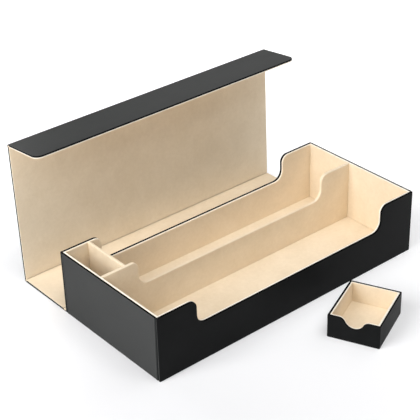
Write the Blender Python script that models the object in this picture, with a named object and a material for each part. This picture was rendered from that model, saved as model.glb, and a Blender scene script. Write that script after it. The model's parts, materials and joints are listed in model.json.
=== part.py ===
"""Card deck box: a lined two-row card box with a book-style cover and a loose tray.

Units are metres. The origin is the centre of the box's underside, +X runs along the rows, +Y goes to
the rear, where the cover is hinged, and +Z is up. The cover stands open: its spine lies flat behind the
box, its lid stands upright and its front flap points forward over the box.
"""
import math

import bmesh
import bpy
from mathutils import Matrix

GAP = 0.0003  # clearance between layers that are glued together on the real box

# Box, outside
BOX_LENGTH = 0.400
BOX_DEPTH = 0.1805
BOX_HEIGHT = 0.084

# Layers of a box wall and of the base, from outside to inside
BOX_LEATHER = 0.0009
BOX_BOARD = 0.0028
BOX_LINING = 0.0009
EDGE_WRAP = 0.0010  # the lining wraps over the board's cut edges by this much
WALL = BOX_LEATHER + GAP + BOX_BOARD + GAP + BOX_LINING

# Wide notch with rounded shoulders in the front wall, the rear wall and the long divider
NOTCH_HALF_WIDTH = 0.145
NOTCH_FLOOR = 0.0505
NOTCH_SHOULDER_RADIUS = 0.010
NOTCH_FLOOR_RADIUS = 0.013

# Dividers
DIVIDER_LINING = 0.0010
DIVIDER_BOARD = 0.0016
DIVIDER = 2 * DIVIDER_LINING + 2 * GAP + DIVIDER_BOARD
LONG_DIVIDER_FRONT_Y = 0.0135
CROSS_DIVIDER_LEFT_X = -0.1644

# Hidden closure magnets
MAGNET_RADIUS = 0.006
MAGNET_SPACING = 0.220
WALL_MAGNET_THICKNESS = 0.0022
WALL_MAGNET_Z = 0.038
FLAP_MAGNET_THICKNESS = 0.0012

# Layers of a cover panel, from outside to inside
COVER_LEATHER = 0.0007
COVER_BOARD = 0.0014
COVER_LINING = 0.0007
PANEL = COVER_LEATHER + GAP + COVER_BOARD + GAP + COVER_LINING

# Creases of the cover
CREASE_RADIUS = PANEL / 2 - 0.00005
PANEL_START = CREASE_RADIUS + GAP
REAR_CREASE_RADIUS = 0.0008
REAR_CREASE_WIDTH = 0.0020
REAR_CREASE_Y = BOX_DEPTH / 2 + REAR_CREASE_RADIUS + GAP

# Cover panels. Shut, the spine stands behind the rear wall, the lid lies on the rim and the flap hangs
# in front of the front wall, so the distances between the creases follow from the box.
LID_CLEARANCE = 0.0006
SHUT_SPINE_Z = PANEL / 2 + REAR_CREASE_WIDTH * math.sin(math.pi / 4)
SHUT_SPINE_Y = REAR_CREASE_Y + REAR_CREASE_WIDTH * math.cos(math.pi / 4)
SPINE_WIDTH = BOX_HEIGHT + LID_CLEARANCE + PANEL / 2 - SHUT_SPINE_Z
LID_WIDTH = SHUT_SPINE_Y + BOX_DEPTH / 2 + GAP + PANEL / 2
FLAP_WIDTH = 0.062 - PANEL / 2
FLAP_CORNER_RADIUS = 0.010
LID_LEAN_BACK = math.radians(1.2)
FLAP_RISE = math.radians(6.1)  # the flap's free edge points this far above level

# Loose tray
TRAY_WIDTH = 0.0631
TRAY_DEPTH = 0.0768
TRAY_HEIGHT = 0.0300
TRAY_SKIN = 0.0007
TRAY_BOARD = 0.0022
TRAY_WALL = 2 * TRAY_SKIN + 2 * GAP + TRAY_BOARD
TRAY_X = 0.0414
TRAY_Y = -0.1641
TRAY_TURN = math.radians(-65.5)
FINGER_NOTCH_DEPTH = 0.0118
FINGER_NOTCH_RADIUS = 0.0120
FINGER_SHOULDER_RADIUS = 0.0084

ARC_STEPS = 8
ROUND_STEPS = 24

# Looks: colour, roughness, metallic
LEATHER = ((0.020, 0.021, 0.022, 1.0), 0.55, 0.0)
LINING = ((0.760, 0.590, 0.390, 1.0), 0.90, 0.0)
BOARD = ((0.330, 0.290, 0.240, 1.0), 0.95, 0.0)
MAGNET = ((0.560, 0.570, 0.580, 1.0), 0.30, 1.0)


def clear_scene():
    for old in list(bpy.data.objects):
        bpy.data.objects.remove(old, do_unlink=True)


def finish(obj, look):
    """Give a sub-part a material of its own."""
    colour, roughness, metallic = look
    material = bpy.data.materials.new(obj.name + "_finish")
    material.use_nodes = True
    shader = material.node_tree.nodes["Principled BSDF"]
    shader.inputs["Base Color"].default_value = colour
    shader.inputs["Roughness"].default_value = roughness
    shader.inputs["Metallic"].default_value = metallic
    obj.data.materials.append(material)


def add_object(name, look, bm, location, parent):
    """Turn a bmesh into a named sub-part at a location under a parent."""
    bmesh.ops.recalc_face_normals(bm, faces=bm.faces)
    mesh = bpy.data.meshes.new(name)
    bm.to_mesh(mesh)
    bm.free()
    obj = bpy.data.objects.new(name, mesh)
    obj.location = location
    obj.parent = parent
    bpy.context.collection.objects.link(obj)
    if look:
        finish(obj, look)
    return obj


def pivot(name, location, turn_x, parent):
    """An empty on a hinge axis; its own X axis is the axis."""
    empty = bpy.data.objects.new(name, None)
    empty.location = location
    empty.rotation_euler = (turn_x, 0.0, 0.0)
    empty.parent = parent
    bpy.context.collection.objects.link(empty)
    return empty


def slab(name, look, low, high, parent=None):
    """A rectangular sheet between two opposite corners."""
    size = [b - a for a, b in zip(low, high)]
    centre = [(a + b) / 2 for a, b in zip(low, high)]
    bm = bmesh.new()
    bmesh.ops.create_cube(bm, size=1.0)
    bmesh.ops.scale(bm, vec=size, verts=bm.verts)
    return add_object(name, look, bm, centre, parent)


def extrude_outline(name, look, outline, place, depth, parent=None):
    """A sheet of any outline. place turns an outline point into x, y, z; depth is the thickness vector."""
    bm = bmesh.new()
    corners = [bm.verts.new(place(a, b)) for a, b in outline]
    face = bm.faces.new(corners)
    grown = bmesh.ops.extrude_face_region(bm, geom=[face])
    moved = [item for item in grown["geom"] if isinstance(item, bmesh.types.BMVert)]
    bmesh.ops.translate(bm, vec=depth, verts=moved)
    return add_object(name, look, bm, (0.0, 0.0, 0.0), parent)


def upright_sheet(name, look, outline, near_y, far_y, parent=None):
    """A sheet whose outline is drawn in X and Z, between two Y planes."""
    return extrude_outline(
        name, look, outline, lambda x, z: (x, near_y, z), (0.0, far_y - near_y, 0.0), parent
    )


def disc(name, look, radius, thickness, centre, axis, parent=None):
    """A short cylinder about its own centre, along "X", "Y" or "Z"."""
    bm = bmesh.new()
    bmesh.ops.create_cone(
        bm, cap_ends=True, segments=ROUND_STEPS, radius1=radius, radius2=radius, depth=thickness
    )
    turns = {
        "X": Matrix.Rotation(math.pi / 2, 3, "Y"),
        "Y": Matrix.Rotation(math.pi / 2, 3, "X"),
        "Z": Matrix.Identity(3),
    }
    bmesh.ops.rotate(bm, matrix=turns[axis], verts=bm.verts)
    obj = add_object(name, look, bm, centre, parent)
    obj.data.shade_smooth()
    obj.data.set_sharp_from_angle(angle=math.radians(40))
    return obj


def cut(obj, cutter):
    """Cut one object out of another and leave the cutter as a wire guide."""
    cutter.hide_render = True
    cutter.display_type = "WIRE"
    boolean = obj.modifiers.new("cut_" + cutter.name, "BOOLEAN")
    boolean.operation = "DIFFERENCE"
    boolean.solver = "EXACT"
    boolean.object = cutter


def arc(centre, radius, start_deg, end_deg):
    """Points along an arc, from the start angle to the end angle."""
    points = []
    for step in range(ARC_STEPS + 1):
        angle = math.radians(start_deg + (end_deg - start_deg) * step / ARC_STEPS)
        points.append((centre[0] + radius * math.cos(angle), centre[1] + radius * math.sin(angle)))
    return points


def mirrored(half):
    """Complete a left-hand run of outline points with its mirror image, left to right."""
    return half + [(-x, z) for x, z in reversed(half)]


def notched_outline(half_length, bottom, top, shrink=0.0):
    """A wall's outline with the wide notch; shrink draws the notch's edge in, for the wrapped board."""
    side = NOTCH_HALF_WIDTH + shrink
    floor = NOTCH_FLOOR - shrink
    shoulder = NOTCH_SHOULDER_RADIUS - shrink
    fillet = NOTCH_FLOOR_RADIUS + shrink
    half = [(-half_length, top)]
    half += arc((-side - shoulder, top - shoulder), shoulder, 90, 0)
    half += arc((-side + fillet, floor + fillet), fillet, 180, 270)
    return mirrored(half) + [(half_length, bottom), (-half_length, bottom)]


def finger_edge(top, shrink=0.0):
    """The tray front's upper edge: a round finger notch between two rounded shoulders."""
    shoulder = FINGER_SHOULDER_RADIUS - shrink
    scoop = FINGER_NOTCH_RADIUS + shrink
    drop = FINGER_NOTCH_DEPTH - FINGER_SHOULDER_RADIUS - FINGER_NOTCH_RADIUS
    spread = math.sqrt((shoulder + scoop) ** 2 - drop**2)
    lean = math.degrees(math.asin(drop / (shoulder + scoop)))
    shoulder_centre = (-spread, top - shoulder)
    scoop_centre = (0.0, top - shoulder - drop)
    half = arc(shoulder_centre, shoulder, 90, -lean)
    half += arc(scoop_centre, scoop, 180 - lean, 270)[1:-1]
    low_point = [(0.0, scoop_centre[1] - scoop)]
    return half + low_point + [(-x, z) for x, z in reversed(half)]


# ---------------------------------------------------------------- box


def add_base():
    half_x = BOX_LENGTH / 2
    half_y = BOX_DEPTH / 2
    board_low = BOX_LEATHER + GAP
    inset = BOX_LEATHER + GAP + BOX_BOARD + GAP
    slab("base_leather", LEATHER, (-half_x, -half_y, 0.0), (half_x, half_y, BOX_LEATHER))
    slab(
        "base_board",
        BOARD,
        (-half_x + inset, -half_y + inset, board_low),
        (half_x - inset, half_y - inset, board_low + BOX_BOARD),
    )


def add_notched_wall(side, sign):
    """Front wall (sign -1) or rear wall (sign +1), built of leather, board and lining."""
    face = sign * BOX_DEPTH / 2
    leather_in = face - sign * BOX_LEATHER
    board_out = leather_in - sign * GAP
    board_in = board_out - sign * BOX_BOARD
    lining_out = board_in - sign * GAP
    lining_in = lining_out - sign * BOX_LINING
    bottom = BOX_LEATHER + GAP
    lining_bottom = bottom + BOX_BOARD + GAP
    half_x = BOX_LENGTH / 2
    board_half = half_x - BOX_LEATHER - GAP
    lining_half = half_x - WALL + BOX_LINING
    upright_sheet(
        side + "_leather", LEATHER, notched_outline(half_x, bottom, BOX_HEIGHT), face, leather_in
    )
    board = upright_sheet(
        side + "_board",
        BOARD,
        notched_outline(board_half, bottom, BOX_HEIGHT - EDGE_WRAP, EDGE_WRAP),
        board_out,
        board_in,
    )
    upright_sheet(
        side + "_lining",
        LINING,
        notched_outline(lining_half, lining_bottom, BOX_HEIGHT),
        lining_out,
        lining_in,
    )
    return board


def add_end_wall(side, sign):
    """Left wall (sign -1) or right wall (sign +1), fitted between the front and rear walls."""
    face = sign * BOX_LENGTH / 2
    bottom = BOX_LEATHER + GAP
    lining_bottom = bottom + BOX_BOARD + GAP
    leather_half = BOX_DEPTH / 2 - BOX_LEATHER - GAP
    board_half = leather_half - BOX_BOARD - GAP
    lining_half = board_half - BOX_LINING - GAP
    layers = (
        ("_leather", LEATHER, 0.0, BOX_LEATHER, leather_half, bottom, BOX_HEIGHT),
        ("_board", BOARD, BOX_LEATHER + GAP, BOX_BOARD, board_half, bottom, BOX_HEIGHT - EDGE_WRAP),
        ("_lining", LINING, WALL - BOX_LINING, BOX_LINING, lining_half, lining_bottom, BOX_HEIGHT),
    )
    for suffix, look, inset, thickness, half_y, low_z, high_z in layers:
        outer = face - sign * inset
        inner = outer - sign * thickness
        slab(
            side + suffix,
            look,
            (min(outer, inner), -half_y, low_z),
            (max(outer, inner), half_y, high_z),
        )


def add_wall_magnets(front_board):
    """Two discs in holes through the front wall's board, under the leather."""
    board_y = -BOX_DEPTH / 2 + BOX_LEATHER + GAP + BOX_BOARD / 2
    for side, sign in (("left", -1), ("right", 1)):
        centre = (sign * MAGNET_SPACING / 2, board_y, WALL_MAGNET_Z)
        hole = disc(
            "front_magnet_hole_" + side, None, MAGNET_RADIUS + GAP, 2 * BOX_BOARD, centre, "Y"
        )
        cut(front_board, hole)
        disc("front_magnet_" + side, MAGNET, MAGNET_RADIUS, WALL_MAGNET_THICKNESS, centre, "Y")


def add_long_divider():
    """Notched divider between the front row and the rear row."""
    bottom = BOX_LEATHER + GAP + BOX_BOARD + GAP
    half = BOX_LENGTH / 2 - WALL - GAP
    y = LONG_DIVIDER_FRONT_Y
    layers = (
        ("long_divider_front_lining", LINING, DIVIDER_LINING, 0.0),
        ("long_divider_board", BOARD, DIVIDER_BOARD, EDGE_WRAP),
        ("long_divider_rear_lining", LINING, DIVIDER_LINING, 0.0),
    )
    for name, look, thickness, shrink in layers:
        outline = notched_outline(half, bottom, BOX_HEIGHT - shrink, shrink)
        upright_sheet(name, look, outline, y, y + thickness)
        y += thickness + GAP


def add_cross_divider():
    """Full-height divider that closes off the tray bay at the rear left."""
    bottom = BOX_LEATHER + GAP + BOX_BOARD + GAP
    front = LONG_DIVIDER_FRONT_Y + DIVIDER + GAP
    rear = BOX_DEPTH / 2 - WALL - GAP
    x = CROSS_DIVIDER_LEFT_X
    layers = (
        ("cross_divider_left_lining", LINING, DIVIDER_LINING, BOX_HEIGHT),
        ("cross_divider_board", BOARD, DIVIDER_BOARD, BOX_HEIGHT - EDGE_WRAP),
        ("cross_divider_right_lining", LINING, DIVIDER_LINING, BOX_HEIGHT),
    )
    for name, look, thickness, top in layers:
        slab(name, look, (x, front, bottom), (x + thickness, rear, top))
        x += thickness + GAP


def add_floor_linings():
    """Lining on the floor of the front row, the rear row and the tray bay."""
    low = BOX_LEATHER + GAP + BOX_BOARD + GAP
    high = low + BOX_LINING
    end = BOX_LENGTH / 2 - WALL - GAP
    front = -BOX_DEPTH / 2 + WALL + GAP
    rear = BOX_DEPTH / 2 - WALL - GAP
    divider_front = LONG_DIVIDER_FRONT_Y - GAP
    divider_rear = LONG_DIVIDER_FRONT_Y + DIVIDER + GAP
    cross_left = CROSS_DIVIDER_LEFT_X - GAP
    cross_right = CROSS_DIVIDER_LEFT_X + DIVIDER + GAP
    slab("front_row_floor_lining", LINING, (-end, front, low), (end, divider_front, high))
    slab("rear_row_floor_lining", LINING, (cross_right, divider_rear, low), (end, rear, high))
    slab("tray_bay_floor_lining", LINING, (-end, divider_rear, low), (cross_left, rear, high))


def add_box():
    add_base()
    front_board = add_notched_wall("front", -1)
    add_notched_wall("rear", 1)
    add_end_wall("left", -1)
    add_end_wall("right", 1)
    add_wall_magnets(front_board)
    add_long_divider()
    add_cross_divider()
    add_floor_linings()


# ---------------------------------------------------------------- cover
# A panel is built in its pivot's own frame: +Y runs across the panel, away from the pivot, and +Z
# points to the lined side.

PANEL_LAYERS = (
    ("_leather", LEATHER, -PANEL / 2, COVER_LEATHER, 0.0),
    ("_board", BOARD, -COVER_BOARD / 2, COVER_BOARD, EDGE_WRAP),
    ("_lining", LINING, PANEL / 2 - COVER_LINING, COVER_LINING, 0.0),
)


def add_panel(name, start, end, parent):
    """A rectangular cover panel of leather, board and lining."""
    for suffix, look, low_z, thickness, inset in PANEL_LAYERS:
        half_x = BOX_LENGTH / 2 - inset
        slab(
            name + suffix,
            look,
            (-half_x, start + inset, low_z),
            (half_x, end - inset, low_z + thickness),
            parent,
        )


def flap_outline(inset):
    """The flap's outline, with its two free corners rounded."""
    half_x = BOX_LENGTH / 2 - inset
    tip = FLAP_WIDTH - inset
    radius = FLAP_CORNER_RADIUS - inset
    start = PANEL_START + inset
    outline = [(half_x, start)]
    outline += arc((half_x - radius, tip - radius), radius, 0, 90)
    outline += arc((-half_x + radius, tip - radius), radius, 90, 180)
    return outline + [(-half_x, start)]


def add_flap(parent):
    """The front flap, with two magnets in holes through its board."""
    magnet_y = BOX_HEIGHT + LID_CLEARANCE + PANEL / 2 - WALL_MAGNET_Z
    for suffix, look, low_z, thickness, inset in PANEL_LAYERS:
        sheet = extrude_outline(
            "flap" + suffix,
            look,
            flap_outline(inset),
            lambda x, y, z=low_z: (x, y, z),
            (0.0, 0.0, thickness),
            parent,
        )
        if suffix == "_board":
            board = sheet
    for side, sign in (("left", -1), ("right", 1)):
        centre = (sign * MAGNET_SPACING / 2, magnet_y, 0.0)
        hole = disc(
            "flap_magnet_hole_" + side, None, MAGNET_RADIUS + GAP, 2 * COVER_BOARD, centre, "Z", parent
        )
        cut(board, hole)
        disc(
            "flap_magnet_" + side, MAGNET, MAGNET_RADIUS, FLAP_MAGNET_THICKNESS, centre, "Z", parent
        )


def add_rear_crease(parent):
    """The leather strip that folds along two lines between the box and the spine."""
    radius = REAR_CREASE_RADIUS
    outline = arc((0.0, 0.0), radius, 90, 270) + arc((REAR_CREASE_WIDTH, 0.0), radius, -90, 90)
    half_x = BOX_LENGTH / 2 - EDGE_WRAP
    extrude_outline(
        "rear_crease_strip",
        LEATHER,
        outline,
        lambda y, z: (-half_x, y, z),
        (2 * half_x, 0.0, 0.0),
        parent,
    )


def add_crease(name, parent):
    """A rounded leather crease centred on its hinge axis."""
    length = BOX_LENGTH - 2 * EDGE_WRAP
    disc(name, LEATHER, CREASE_RADIUS, length, (0.0, 0.0, 0.0), "X", parent)


def add_cover():
    rear_crease = pivot("rear_crease_pivot", (0.0, REAR_CREASE_Y, PANEL / 2), 0.0, None)
    spine = pivot("spine_pivot", (0.0, REAR_CREASE_WIDTH, 0.0), 0.0, rear_crease)
    lid_turn = math.pi / 2 - LID_LEAN_BACK
    lid = pivot("lid_pivot", (0.0, SPINE_WIDTH, 0.0), lid_turn, spine)
    flap_turn = math.pi - FLAP_RISE - lid_turn
    flap = pivot("flap_pivot", (0.0, LID_WIDTH, 0.0), flap_turn, lid)

    add_rear_crease(rear_crease)
    add_panel("spine", REAR_CREASE_RADIUS + GAP, SPINE_WIDTH - PANEL_START, spine)
    add_crease("lid_crease", lid)
    add_panel("lid", PANEL_START, LID_WIDTH - PANEL_START, lid)
    add_crease("flap_crease", flap)
    add_flap(flap)


# ---------------------------------------------------------------- tray


def add_band(name, look, inset, thickness, low_z, parent):
    """A four-sided skin around the tray's walls, open above and below."""
    bm = bmesh.new()
    rings = []
    for step in (inset, inset + thickness):
        half_x = TRAY_WIDTH / 2 - step
        half_y = TRAY_DEPTH / 2 - step
        corners = ((-half_x, -half_y), (half_x, -half_y), (half_x, half_y), (-half_x, half_y))
        rings.append([bm.verts.new((x, y, low_z)) for x, y in corners])
    outer, inner = rings
    faces = []
    for side in range(4):
        after = (side + 1) % 4
        faces.append(bm.faces.new((outer[side], outer[after], inner[after], inner[side])))
    grown = bmesh.ops.extrude_face_region(bm, geom=faces)
    moved = [item for item in grown["geom"] if isinstance(item, bmesh.types.BMVert)]
    bmesh.ops.translate(bm, vec=(0.0, 0.0, TRAY_HEIGHT - low_z), verts=moved)
    band = add_object(name, look, bm, (0.0, 0.0, 0.0), parent)
    cut(band, add_finger_cutter(name, parent))


def add_finger_cutter(name, parent):
    """A prism of the finger notch's shape, reaching from before the front wall to inside the tray."""
    above = TRAY_HEIGHT + FINGER_NOTCH_DEPTH
    edge = finger_edge(TRAY_HEIGHT)
    outline = [(edge[0][0], above)] + edge + [(edge[-1][0], above)]
    front = -TRAY_DEPTH / 2
    return upright_sheet(
        name + "_cutter", None, outline, front - TRAY_WALL, front + 2 * TRAY_WALL, parent
    )


def add_tray():
    """A small open tray with a finger notch in its front wall."""
    tray = bpy.data.objects.new("tray_pivot", None)
    tray.location = (TRAY_X, TRAY_Y, 0.0)
    tray.rotation_euler = (0.0, 0.0, TRAY_TURN)
    bpy.context.collection.objects.link(tray)

    half_x = TRAY_WIDTH / 2
    half_y = TRAY_DEPTH / 2
    board_low = TRAY_SKIN + GAP
    floor_low = board_low + TRAY_BOARD + GAP
    outer = TRAY_SKIN + GAP
    inner = outer + TRAY_BOARD
    board_top = TRAY_HEIGHT - TRAY_SKIN
    inside_x = half_x - inner - GAP
    inside_y = half_y - inner - GAP

    slab("tray_floor_leather", LEATHER, (-half_x, -half_y, 0.0), (half_x, half_y, TRAY_SKIN), tray)
    slab(
        "tray_floor_board",
        BOARD,
        (-inside_x, -inside_y, board_low),
        (inside_x, inside_y, board_low + TRAY_BOARD),
        tray,
    )
    lining_x = half_x - TRAY_WALL - GAP
    lining_y = half_y - TRAY_WALL - GAP
    slab(
        "tray_floor_lining",
        LINING,
        (-lining_x, -lining_y, floor_low),
        (lining_x, lining_y, floor_low + TRAY_SKIN),
        tray,
    )
    front_x = half_x - outer
    edge = [(-front_x, board_top)] + finger_edge(board_top, TRAY_SKIN) + [(front_x, board_top)]
    outline = edge + [(front_x, board_low), (-front_x, board_low)]
    upright_sheet("tray_front_board", BOARD, outline, -half_y + outer, -half_y + inner, tray)
    slab(
        "tray_rear_board",
        BOARD,
        (-front_x, half_y - inner, board_low),
        (front_x, half_y - outer, board_top),
        tray,
    )
    side_y = half_y - inner - GAP
    for side, sign in (("left", -1), ("right", 1)):
        ends = sorted((sign * (half_x - outer), sign * (half_x - inner)))
        slab(
            "tray_" + side + "_board",
            BOARD,
            (ends[0], -side_y, board_low),
            (ends[1], side_y, board_top),
            tray,
        )
    add_band("tray_leather_band", LEATHER, 0.0, TRAY_SKIN, board_low, tray)
    add_band("tray_lining_band", LINING, TRAY_WALL - TRAY_SKIN, TRAY_SKIN, floor_low, tray)


def main():
    clear_scene()
    add_box()
    add_cover()
    add_tray()


main()
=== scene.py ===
"""Looks of the card deck box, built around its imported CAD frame. Lengths are in metres."""
import json
import math

import bmesh
import bpy
from mathutils import Matrix, Vector


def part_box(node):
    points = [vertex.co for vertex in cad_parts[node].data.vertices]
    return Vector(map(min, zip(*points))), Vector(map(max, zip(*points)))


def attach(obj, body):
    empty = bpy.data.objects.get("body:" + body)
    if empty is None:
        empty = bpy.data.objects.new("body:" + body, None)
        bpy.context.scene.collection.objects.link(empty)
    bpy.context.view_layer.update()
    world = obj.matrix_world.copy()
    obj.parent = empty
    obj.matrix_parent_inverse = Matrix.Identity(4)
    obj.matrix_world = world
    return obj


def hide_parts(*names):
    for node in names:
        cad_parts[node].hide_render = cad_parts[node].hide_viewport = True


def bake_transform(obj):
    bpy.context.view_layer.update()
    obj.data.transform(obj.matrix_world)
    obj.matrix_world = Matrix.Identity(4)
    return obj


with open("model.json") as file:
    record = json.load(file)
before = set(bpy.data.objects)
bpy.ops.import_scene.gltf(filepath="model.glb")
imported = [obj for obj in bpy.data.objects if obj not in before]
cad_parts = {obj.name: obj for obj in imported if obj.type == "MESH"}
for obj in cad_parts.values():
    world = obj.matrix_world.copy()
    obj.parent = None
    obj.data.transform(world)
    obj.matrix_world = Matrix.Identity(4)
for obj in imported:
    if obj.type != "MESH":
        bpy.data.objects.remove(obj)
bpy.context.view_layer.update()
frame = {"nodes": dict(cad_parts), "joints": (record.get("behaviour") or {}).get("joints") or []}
MM = 0.001

# ---------------------------------------------------------------- sizes of the box and its cover

FRONT_LOW, FRONT_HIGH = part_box("front_leather")
HALF_L = FRONT_HIGH.x
HALF_D = -FRONT_LOW.y
RIM_Z = FRONT_HIGH.z
LINING_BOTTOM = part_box("front_lining")[0].z
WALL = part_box("front_lining")[1].y + HALF_D     # thickness of a box wall
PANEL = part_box("spine_lining")[1].z             # thickness of a cover panel
JOINTS = {joint["name"]: joint for joint in frame["joints"]}

# Notch outline, as in the CAD
NOTCH_HALF = 145 * MM
NOTCH_FLOOR = 50.5 * MM
NOTCH_SHOULDER = 10 * MM
NOTCH_FILLET = 13 * MM

# Skins
LEATHER_SKIN = 0.85 * MM    # leather on the box walls
LINING_SKIN = 0.9 * MM      # lining on the box walls
PANEL_SKIN = 0.7 * MM       # leather and lining on the cover panels
EDGE_R = 0.6 * MM           # leather turned over an edge
RIM_R = 1.2 * MM            # lining turned over a wall's or a divider's rim
RIM_CROWN = 0.25 * MM       # height of the soft rim between the two
PANEL_RIM_R = 0.7 * MM      # lining turned over a cover panel's edge
PANEL_RIM_FLAT = 0.35 * MM  # least flat stretch between that turn and the leather
CORNER_R = 1.2 * MM         # vertical corners of the box
CORNER_STEPS = 6
TUCK = 0.40 * MM            # linings sink this far where two of them meet in a corner

# Leather's turn over each wall's rim and over each cover panel's edges
LIPS = {"front": 2.7 * MM, "rear": 3.2 * MM, "left": 2.3 * MM, "right": 2.2 * MM}
PANEL_LIPS = {"spine": 2.7 * MM, "lid": 2.6 * MM, "flap": 2.1 * MM}
LIP_DROP = 0.9 * MM         # thickness of the skins over the board's cut edge
LIP_BEVEL = 0.2 * MM        # bevel where the turned leather ends
SOFT_BEVEL = 0.25 * MM      # bevel where the lining meets it
SKIN_GAP = 0.05 * MM        # between the leather's end and the lining
UNDER_GAP = 0.03 * MM       # the lining over the cut edge is this much thicker than the leather

# Where the leather that wraps round a corner meets the end wall's leather
SEAM_DEPTH = 0.62 * MM
SEAM_WIDTH = 1.50 * MM
SEAM_AT_FOOT = 1.80 * MM    # distance beyond the rounded corner at the wall's foot
SEAM_DRIFT = 1.50 * MM      # it runs this much closer to the corner at the rim
WRAP_TAIL = 1.0 * MM        # nominal length of the wrap beyond the corner, up to the end wall's leather
WRAP_FLAT = 0.2             # share of it that stays flat
WRAP_EDGE = 0.65            # share of it before the open seam
WRAP_SHARES = (WRAP_FLAT, 0.32, 0.44, 0.56, WRAP_EDGE, 1.0)
BEAD_HEIGHT = 0.42 * MM     # soft bead along the end wall's leather
BEAD_WIDTH = 2.8 * MM
EDGE_FALL = 0.30 * MM       # rounded fall at its very edge
EDGE_FALL_WIDTH = 0.2 * MM
# Columns of the end wall's leather, as distances from its edge
END_COLUMNS = [distance * MM for distance in (2.9, 2.5, 2.1, 1.75, 1.4, 1.05, 0.7, 0.4, 0.2, 0.1, 0.0)]

# A wall lining's last two columns before an inner corner
LAST_FLAT = 0.9 * MM
LAST_STEP = 0.35 * MM

# ---------------------------------------------------------------- materials


def new_material(name):
    mat = bpy.data.materials.new(name)
    mat.use_nodes = True
    return mat, mat.node_tree, mat.node_tree.nodes["Principled BSDF"]


def object_coordinates(tree):
    return tree.nodes.new("ShaderNodeTexCoord").outputs["Object"]


def add_node(tree, kind, **values):
    """A node with values for its sockets or its own settings."""
    node = tree.nodes.new(kind)
    for key, value in values.items():
        if key in node.inputs:
            node.inputs[key].default_value = value
        else:
            setattr(node, key, value)
    return node


def noise(tree, coords, scale, detail=2.0, roughness=0.5, distortion=0.0):
    node = add_node(tree, "ShaderNodeTexNoise", Scale=scale, Detail=detail, Roughness=roughness,
                    Distortion=distortion)
    tree.links.new(coords, node.inputs["Vector"])
    return node.outputs["Fac"]


def ramp(tree, factor, stops):
    node = tree.nodes.new("ShaderNodeValToRGB")
    node.color_ramp.elements[0].position = stops[0][0]
    node.color_ramp.elements[0].color = (*stops[0][1], 1.0)
    node.color_ramp.elements[1].position = stops[-1][0]
    node.color_ramp.elements[1].color = (*stops[-1][1], 1.0)
    for position, colour in stops[1:-1]:
        element = node.color_ramp.elements.new(position)
        element.color = (*colour, 1.0)
    tree.links.new(factor, node.inputs["Fac"])
    return node.outputs["Color"]


def combine(tree, operation, a, b):
    """Arithmetic on two values, each of them a number or a socket."""
    node = add_node(tree, "ShaderNodeMath", operation=operation)
    for socket, value in zip(node.inputs, (a, b)):
        if isinstance(value, float):
            socket.default_value = value
        else:
            tree.links.new(value, socket)
    return node.outputs[0]


def remap(tree, value, low, high, start=0.0, end=1.0):
    """Carry a value's range from start to end over to low to high."""
    ranges = {"From Min": start, "From Max": end, "To Min": low, "To Max": high}
    node = add_node(tree, "ShaderNodeMapRange", **ranges)
    tree.links.new(value, node.inputs["Value"])
    return node.outputs["Result"]


def bump(tree, shader, height, distance, strength):
    node = add_node(tree, "ShaderNodeBump", Strength=strength, Distance=distance)
    tree.links.new(height, node.inputs["Height"])
    tree.links.new(node.outputs["Normal"], shader.inputs["Normal"])


def leather_material(name, dark, light, ior):
    """Imitation leather: small pebbles with fine creases, satin."""
    mat, tree, shader = new_material(name)
    coords = object_coordinates(tree)
    cells = add_node(tree, "ShaderNodeTexVoronoi", feature="SMOOTH_F1", Scale=900.0, Smoothness=0.35,
                     Randomness=1.0)
    tree.links.new(coords, cells.inputs["Vector"])
    pebbles = combine(tree, "SUBTRACT", 1.0, cells.outputs["Distance"])
    fine = noise(tree, coords, scale=2600.0)
    clouds = noise(tree, coords, scale=38.0, detail=3.0, roughness=0.55)
    tone = combine(tree, "ADD", combine(tree, "MULTIPLY", clouds, 0.75),
                   combine(tree, "MULTIPLY", pebbles, 0.25))
    tree.links.new(ramp(tree, tone, [(0.30, dark), (0.70, light)]), shader.inputs["Base Color"])
    tree.links.new(remap(tree, clouds, 0.38, 0.52), shader.inputs["Roughness"])
    height = combine(tree, "ADD", pebbles, combine(tree, "MULTIPLY", fine, 0.35))
    bump(tree, shader, height, distance=0.07 * MM, strength=0.55)
    shader.inputs["IOR"].default_value = ior
    return mat


def lining_material(name, dark, light):
    """Cream microfibre: soft nap in cloudy patches, with short fibres."""
    mat, tree, shader = new_material(name)
    coords = object_coordinates(tree)
    patches = noise(tree, coords, scale=26.0, detail=4.0, roughness=0.6, distortion=0.6)
    nap = noise(tree, coords, scale=210.0, detail=3.0, roughness=0.6)
    fibres = noise(tree, coords, scale=1700.0, detail=3.0, roughness=0.65)
    tone = combine(tree, "ADD", combine(tree, "MULTIPLY", patches, 0.5),
                   combine(tree, "ADD", combine(tree, "MULTIPLY", nap, 0.3),
                           combine(tree, "MULTIPLY", fibres, 0.2)))
    middle = tuple((a + b) / 2 for a, b in zip(dark, light))
    colour = ramp(tree, tone, [(0.36, dark), (0.50, middle), (0.64, light)])
    tree.links.new(colour, shader.inputs["Base Color"])
    height = combine(tree, "ADD", fibres, combine(tree, "MULTIPLY", nap, 0.8))
    bump(tree, shader, height, distance=0.12 * MM, strength=0.5)
    shader.inputs["Roughness"].default_value = 0.92
    shader.inputs["Specular IOR Level"].default_value = 0.15
    shader.inputs["Sheen Weight"].default_value = 0.25
    shader.inputs["Sheen Roughness"].default_value = 0.55
    shader.inputs["Sheen Tint"].default_value = (1.0, 0.93, 0.82, 1.0)
    return mat


def board_material():
    """Grey-brown rigid board with flecks of fibre."""
    mat, tree, shader = new_material("greyboard")
    flecks = noise(tree, object_coordinates(tree), scale=700.0, detail=4.0, roughness=0.7)
    colour = ramp(tree, flecks, [(0.35, (0.25, 0.21, 0.17)), (0.65, (0.38, 0.34, 0.28))])
    tree.links.new(colour, shader.inputs["Base Color"])
    shader.inputs["Roughness"].default_value = 0.9
    bump(tree, shader, flecks, distance=0.1 * MM, strength=0.4)
    return mat


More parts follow.
